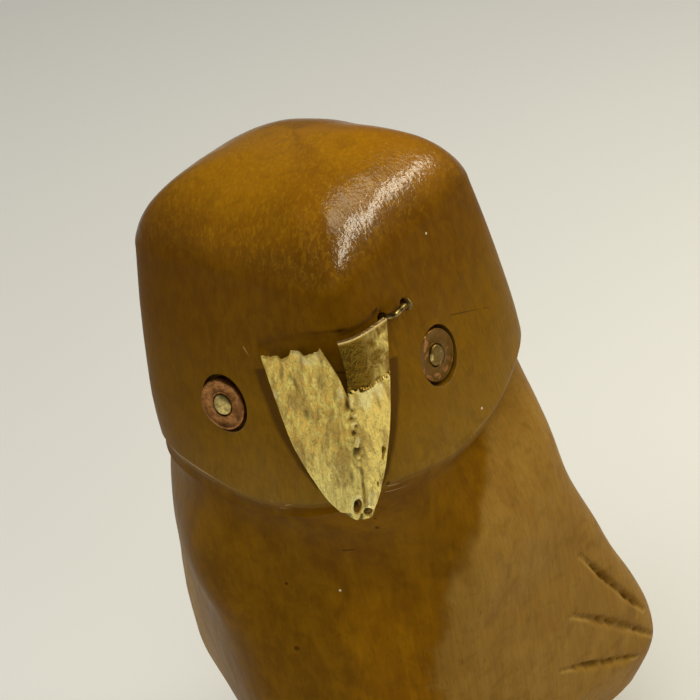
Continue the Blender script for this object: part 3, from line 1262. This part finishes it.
def wood_material():
    material, tree, shader = new_material("carved_wood")
    place = millimetres(tree)

    def cloud(size, low, high, detail=2.0, wander=0.0):
        return use_group(tree, patches, {"Place": place, "Size": size, "Low": low, "High": high,
                                         "Detail": detail, "Wander": wander})["Mask"]

    def layer(colour, mask, strength, tone):
        return blend_colour(tree, maths(tree, "MULTIPLY", mask, strength), colour, tone)

    figure = cloud((3.6, 3.6, 7.5), 0.3, 0.72, 3.0, 0.8)
    mottle = cloud((1.1, 1.1, 1.9), 0.36, 0.66, 2.0, 0.4)
    streaks = cloud((0.32, 0.32, 4.5), 0.35, 0.65)
    strokes = cloud((0.34, 1.0, 0.6), 0.46, 0.7, 3.0, 0.9)
    pores = cloud((0.16, 0.16, 1.1), 0.63, 0.76, 1.0)
    smudges = cloud((2.4, 2.4, 2.0), 0.5, 0.68, 5.0, 0.9)
    bib, crown, head = note(tree, "bib"), note(tree, "crown"), note(tree, "head")

    head_tone = tone_ramp(tree, note(tree, "rise"), HIGHEST_TONE, HEAD_TONES)
    olive = blend_colour(tree, figure, (0.122, 0.051, 0.0004, 1), (0.160, 0.070, 0.0010, 1))
    orange = blend_colour(tree, figure, (0.190, 0.071, 0.0002, 1), (0.290, 0.120, 0.0002, 1))
    breast = blend_colour(tree, note(tree, "warm"), olive, orange)
    wings = blend_colour(tree, figure, (0.250, 0.127, 0.020, 1), (0.300, 0.165, 0.030, 1))
    colour = blend_colour(tree, bib, wings, breast)
    colour = blend_colour(tree, head, colour, head_tone)
    colour = layer(colour, figure, 0.07, (0.30, 0.135, 0.002, 1))
    colour = layer(colour, mottle, 0.11, (0.38, 0.180, 0.004, 1))
    colour = layer(colour, maths(tree, "MULTIPLY", strokes, crown), 0.24, (0.50, 0.25, 0.004, 1))
    colour = layer(colour, smudges, 0.2, (0.080, 0.032, 0.0004, 1))
    colour = layer(colour, streaks, 0.15, (0.08, 0.034, 0.001, 1))
    colour = layer(colour, pores, 0.32, (0.05, 0.018, 0.001, 1))

    around = note(tree, "around")
    left_brow = maths(tree, "MULTIPLY", remap(tree, around, -35, -70), remap(tree, around, -140, -100))
    left_brow = maths(tree, "MULTIPLY", left_brow, remap(tree, note(tree, "rise"), 29, 25))
    colour = layer(colour, maths(tree, "MULTIPLY", left_brow, head), 0.4, (0.085, 0.030, 0.0002, 1))
    right_brow = maths(tree, "MULTIPLY", remap(tree, around, 38, 70), remap(tree, around, 130, 90))
    right_brow = maths(tree, "MULTIPLY", right_brow, remap(tree, note(tree, "rise"), 20, 25))
    colour = layer(colour, maths(tree, "MULTIPLY", right_brow, crown), 0.45, (0.38, 0.155, 0.0002, 1))
    line = remap(tree, maths(tree, "ABSOLUTE", note(tree, "chin_gap")), 0.2, 0.06)
    left_line = maths(tree, "MULTIPLY", line, remap(tree, around, -38, -60))
    right_line = maths(tree, "MULTIPLY", line, remap(tree, around, 30, 60))
    colour = layer(colour, left_line, 0.8, PALE_WOOD)
    colour = layer(colour, right_line, 0.5, PALE_WOOD)
    under = remap(tree, maths(tree, "ABSOLUTE", maths(tree, "ADD", note(tree, "chin_gap"), 0.6)), 0.3, 0.05)
    colour = layer(colour, under, 0.25, DARK_VARNISH)
    under_chin = maths(tree, "MULTIPLY", remap(tree, note(tree, "rise"), -6, -1), maths(tree, "SUBTRACT", 1.0, head))
    colour = layer(colour, under_chin, 0.24, (0.085, 0.032, 0.0002, 1))
    in_cut = remap(tree, note(tree, "feather_gap"), 0.7, 0.25)
    fall = note(tree, "feather_fall")
    lower_wall = maths(tree, "MULTIPLY", in_cut, remap(tree, fall, 0.02, 0.25))
    upper_wall = maths(tree, "MULTIPLY", in_cut, remap(tree, fall, 0.05, -0.15))
    colour = layer(colour, lower_wall, 0.6, (0.44, 0.27, 0.06, 1))
    colour = layer(colour, maths(tree, "MULTIPLY", upper_wall, cloud((0.3, 0.3, 0.3), 0.4, 0.6)), 0.5, DARK_VARNISH)
    knife = remap(tree, note(tree, "knife_gap"), 0.34, 0.06)
    colour = layer(colour, knife, 0.9, DARK_VARNISH)
    sheet_gap = note(tree, "sheet_gap")
    grime = maths(tree, "MULTIPLY", remap(tree, sheet_gap, 1.5, 0.9), remap(tree, sheet_gap, -0.2, 0.5))
    colour = layer(colour, grime, 0.7, DARK_VARNISH)
    colour = layer(colour, marks_mask(tree, place, [], SCRATCHES), 0.75, PALE_WOOD)
    colour = layer(colour, marks_mask(tree, place, PALE_SPECKS, []), 0.9, (0.75, 0.62, 0.42, 1))
    colour = layer(colour, marks_mask(tree, place, DARK_SPECKS, CRACKS), 0.8, DARK_VARNISH)
    tree.links.new(colour, shader["Base Color"])

    ripple = cloud((0.45, 0.45, 0.7), 0.2, 0.8, 1.5, 0.6)
    rough = remap(tree, mottle, 0, 1, 0.42, 0.5)
    tree.links.new(rough, shader["Roughness"])
    tree.links.new(remap(tree, crown, 0, 1, 0.02, 0.6), shader["Coat Weight"])
    shader["Coat Roughness"].default_value = 0.16
    shader["Specular IOR Level"].default_value = 0.03
    shader["Specular Tint"].default_value = (1.0, 0.75, 0.35, 1)
    shader["Sheen Weight"].default_value = 0.035
    shader["Sheen Roughness"].default_value = 0.3
    shader["Sheen Tint"].default_value = (1.0, 0.82, 0.55, 1)
    height = maths(tree, "SUBTRACT", ripple, maths(tree, "MULTIPLY", pores, 0.5))
    bump = node(tree, "Bump", {"Height": height, "Strength": 0.6, "Distance": 0.00003})
    tree.links.new(bump.outputs["Normal"], shader["Normal"])
    tree.links.new(bump.outputs["Normal"], shader["Coat Normal"])
    return material


carved_wood = wood_material()
finish_piece(owl, "owl_carving", carved_wood)

# %% [markdown]
# ## The brass, copper and nails
# The sheet is bright in flakes, with brown tarnish between them and dirt in its dents. Above a sharp
# bend the right panel is smooth and dark olive, worn bright again towards its outer edge. Rough
# tarnish scatters light as paint does, so the flaky part is only half metallic and the smooth part
# fully so. The copper is browned and scratched, and the right eye is duller than the left; a note
# called `dulled` says which. The pins are rubbed bright on top, and the nails are dark brass.


# %% Metal materials
def brass_material():
    material, tree, shader = new_material("beak_brass")
    place = millimetres(tree)

    def cloud(size, low, high, detail=2.0, wander=0.0):
        return use_group(tree, patches, {"Place": place, "Size": size, "Low": low, "High": high,
                                         "Detail": detail, "Wander": wander})["Mask"]

    def layer(colour, mask, strength, tone):
        return blend_colour(tree, maths(tree, "MULTIPLY", mask, strength), colour, tone)

    tarnish = cloud((1.0, 1.0, 3.6), 0.4, 0.66, 4.0, 0.5)
    flakes = cloud((0.45, 0.45, 0.7), 0.42, 0.6, 4.0, 1.0)
    streaks = cloud((0.24, 0.24, 1.2), 0.56, 0.72, 2.0, 0.8)
    spots = cloud((0.3, 0.3, 0.42), 0.58, 0.68, 3.0, 0.6)
    blooms = cloud((1.1, 1.1, 1.2), 0.34, 0.74, 3.0, 0.6)
    u, v = note(tree, "sheet_u"), note(tree, "sheet_v")
    wander = maths(tree, "MULTIPLY", maths(tree, "SUBTRACT", flakes, 0.5), 0.016)
    above_bend = remap(tree, maths(tree, "ADD", v, wander), BEND + 0.004, BEND - 0.006)
    right = remap(tree, u, 0.0, 0.03)
    worn = maths(tree, "MULTIPLY", blooms, remap(tree, u, 0.45, 0.8))
    dark = maths(tree, "MULTIPLY", maths(tree, "MULTIPLY", right, above_bend), maths(tree, "SUBTRACT", 1.0, worn))
    edge = maths(tree, "MULTIPLY", right, remap(tree, v, 0.014, 0.004))

    colour = blend_colour(tree, flakes, (0.92, 0.60, 0.11, 1), (1.0, 0.82, 0.21, 1))
    colour = layer(colour, remap(tree, v, 0.35, 0.7), 0.8, (1.0, 0.85, 0.26, 1))
    colour = layer(colour, right, 0.7, (0.95, 0.74, 0.20, 1))
    colour = layer(colour, tarnish, 0.7, (0.37, 0.215, 0.04, 1))
    colour = layer(colour, streaks, 0.32, (0.26, 0.15, 0.03, 1))
    colour = layer(colour, remap(tree, note(tree, "relief"), -0.05, -0.26), 0.75, (0.10, 0.055, 0.01, 1))
    colour = layer(colour, spots, 0.32, (0.28, 0.15, 0.03, 1))
    colour = layer(colour, remap(tree, note(tree, "relief"), 0.1, 0.2), 0.6, (1.0, 0.90, 0.42, 1))
    colour = layer(colour, dark, 0.93, (0.205, 0.100, 0.001, 1))
    colour = layer(colour, maths(tree, "MULTIPLY", dark, blooms), 0.4, (0.30, 0.20, 0.03, 1))
    colour = layer(colour, edge, 0.8, (0.90, 0.68, 0.28, 1))
    tree.links.new(colour, shader["Base Color"])
    dull = remap(tree, flakes, 0, 1, 0.46, 0.58)
    rough = node(tree, "Mix", {0: dark, 2: dull, 3: 0.24}).outputs[0]
    tree.links.new(rough, shader["Roughness"])
    tree.links.new(remap(tree, dark, 0, 1, 0.42, 0.92), shader["Metallic"])
    height = maths(tree, "SUBTRACT", flakes, maths(tree, "MULTIPLY", spots, 0.8))
    height = maths(tree, "MULTIPLY", height, remap(tree, dark, 0, 1, 1, 0.15))
    bump = node(tree, "Bump", {"Height": height, "Strength": 0.8, "Distance": 0.00014})
    tree.links.new(bump.outputs["Normal"], shader["Normal"])
    return material


def plain_metal(name, dull, bright, scratch_size, rough_low, rough_high, bump_height, dulled_tone=None):
    """A small metal part: two tones in patches, fine scratches and uneven gloss."""
    material, tree, shader = new_material(name)
    place = millimetres(tree)
    tone = use_group(tree, patches, {"Place": place, "Size": (0.7, 0.7, 0.7), "Low": 0.38, "High": 0.64,
                                     "Detail": 3.0})["Mask"]
    lines = use_group(tree, patches, {"Place": place, "Size": scratch_size, "Low": 0.5, "High": 0.7,
                                      "Detail": 2.0, "Wander": 0.3})["Mask"]
    colour = blend_colour(tree, tone, dull, bright)
    colour = blend_colour(tree, maths(tree, "MULTIPLY", lines, 0.4), colour, tuple(0.4 * c for c in dull[:3]) + (1,))
    if dulled_tone:
        glints = use_group(tree, patches, {"Place": place, "Size": (1.1, 1.1, 1.1), "Low": 0.60, "High": 0.66,
                                           "Detail": 2.0, "Wander": 0.4})["Mask"]
        share = maths(tree, "MULTIPLY", note(tree, "dulled"), maths(tree, "SUBTRACT", 0.93, glints, clamp=True))
        colour = blend_colour(tree, share, colour, dulled_tone)
    tree.links.new(colour, shader["Base Color"])
    tree.links.new(remap(tree, lines, 0, 1, rough_low, rough_high), shader["Roughness"])
    shader["Metallic"].default_value = 1.0
    bump = node(tree, "Bump", {"Height": maths(tree, "ADD", tone, lines), "Strength": 0.5, "Distance": bump_height})
    tree.links.new(bump.outputs["Normal"], shader["Normal"])
    return material


beak_brass = brass_material()
eye_copper = plain_metal("eye_copper", (0.27, 0.112, 0.028, 1), (0.50, 0.225, 0.07, 1), (0.5, 0.5, 0.12), 0.42, 0.55, 0.00003,
                         (0.155, 0.080, 0.012, 1))
pin_brass = plain_metal("pin_brass", (0.46, 0.34, 0.11, 1), (0.92, 0.71, 0.26, 1), (0.4, 0.4, 0.1), 0.4, 0.55, 0.00003,
                        (0.17, 0.098, 0.020, 1))
nail_metal = plain_metal("nail_metal", (0.10, 0.065, 0.012, 1), (0.40, 0.30, 0.10, 1), (0.2, 0.2, 0.6), 0.35, 0.5, 0.00003)
finish_piece(beak, "beak_sheet", beak_brass)
for side in EYES:
    finish_piece(discs[side], "eye_disc_" + side, eye_copper)
    finish_piece(pins[side], "eye_pin_" + side, pin_brass)
for side in TIP_NAILS:
    finish_piece(tip_nails[side], "beak_nail_tip_" + side, nail_metal)
finish_piece(bent_nail, "beak_nail_corner", nail_metal)

# %% [markdown]
# ## Floor and light
# The owl stands on a plain pale surface in a bright room. A wide soft light overhead gives the
# crown its glow, and two pale walls fill the shadows in front. A narrow window on the right and a
# pane above it make the long highlight on the crown. Only those two may show in the varnish, since
# a large soft light would cover the whole crown in a grey veil.


# %% Floor, room and lights
FLOOR_HALF = 3000


def make_floor():
    corners = [(-FLOOR_HALF, -FLOOR_HALF, 0), (FLOOR_HALF, -FLOOR_HALF, 0), (FLOOR_HALF, FLOOR_HALF, 0), (-FLOOR_HALF, FLOOR_HALF, 0)]
    floor = mesh_object("pale_floor", corners, [(0, 1, 2, 3)])
    material, tree, shader = new_material("pale_paper")
    shader["Base Color"].default_value = (0.84, 0.835, 0.80, 1)
    shader["Roughness"].default_value = 0.85
    floor.data.materials.append(material)


def soft_light(name, azimuth, height, distance, size, power, colour, mirrored=True):
    """A square light on a sphere round the head, facing it; gloss shows it only if mirrored."""
    a, e = math.radians(azimuth), math.radians(height)
    back = Vector((math.sin(a) * math.cos(e), -math.cos(a) * math.cos(e), math.sin(e)))
    data = bpy.data.lights.new(name, "AREA")
    data.shape = "RECTANGLE"
    data.size, data.size_y = (s * MM for s in size)
    data.energy = power
    data.color = colour
    light = bpy.data.objects.new(name, data)
    light.location = (Vector((0, 0, 75)) + back * distance) * MM
    light.rotation_mode = "QUATERNION"
    light.rotation_quaternion = back.to_track_quat("Z", "Y")
    light.visible_glossy = mirrored
    bpy.context.scene.collection.objects.link(light)
    return light


def make_room():
    world = bpy.data.worlds.new("room")
    world.use_nodes = True
    backdrop = world.node_tree.nodes["Background"]
    backdrop.inputs["Color"].default_value = (0.95, 0.93, 0.86, 1)
    backdrop.inputs["Strength"].default_value = 0.1
    bpy.context.scene.world = world
    bpy.context.scene.view_settings.view_transform = "Standard"


make_floor()
make_room()
soft_light("overhead", -10, 74, 1100, (1000, 1000), 8.9, (1.0, 0.985, 0.94), mirrored=False)
soft_light("window", 111, 33, 260, (165, 30), 0.31, (1.0, 0.93, 0.72))
soft_light("upper_pane", 128, 46, 420, (110, 90), 0.2, (1.0, 0.90, 0.62))
soft_light("pale_wall", -42, 14, 700, (500, 400), 0.75, (1.0, 0.98, 0.94), mirrored=False)
soft_light("pale_front", 50, 18, 600, (400, 300), 0.45, (1.0, 0.98, 0.92), mirrored=False)
print("lights placed")

# %% [markdown]
# ## Check the size and finish
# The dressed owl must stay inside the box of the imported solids. Both boxes are written out.

# %% Write the sizes
bpy.context.view_layer.update()
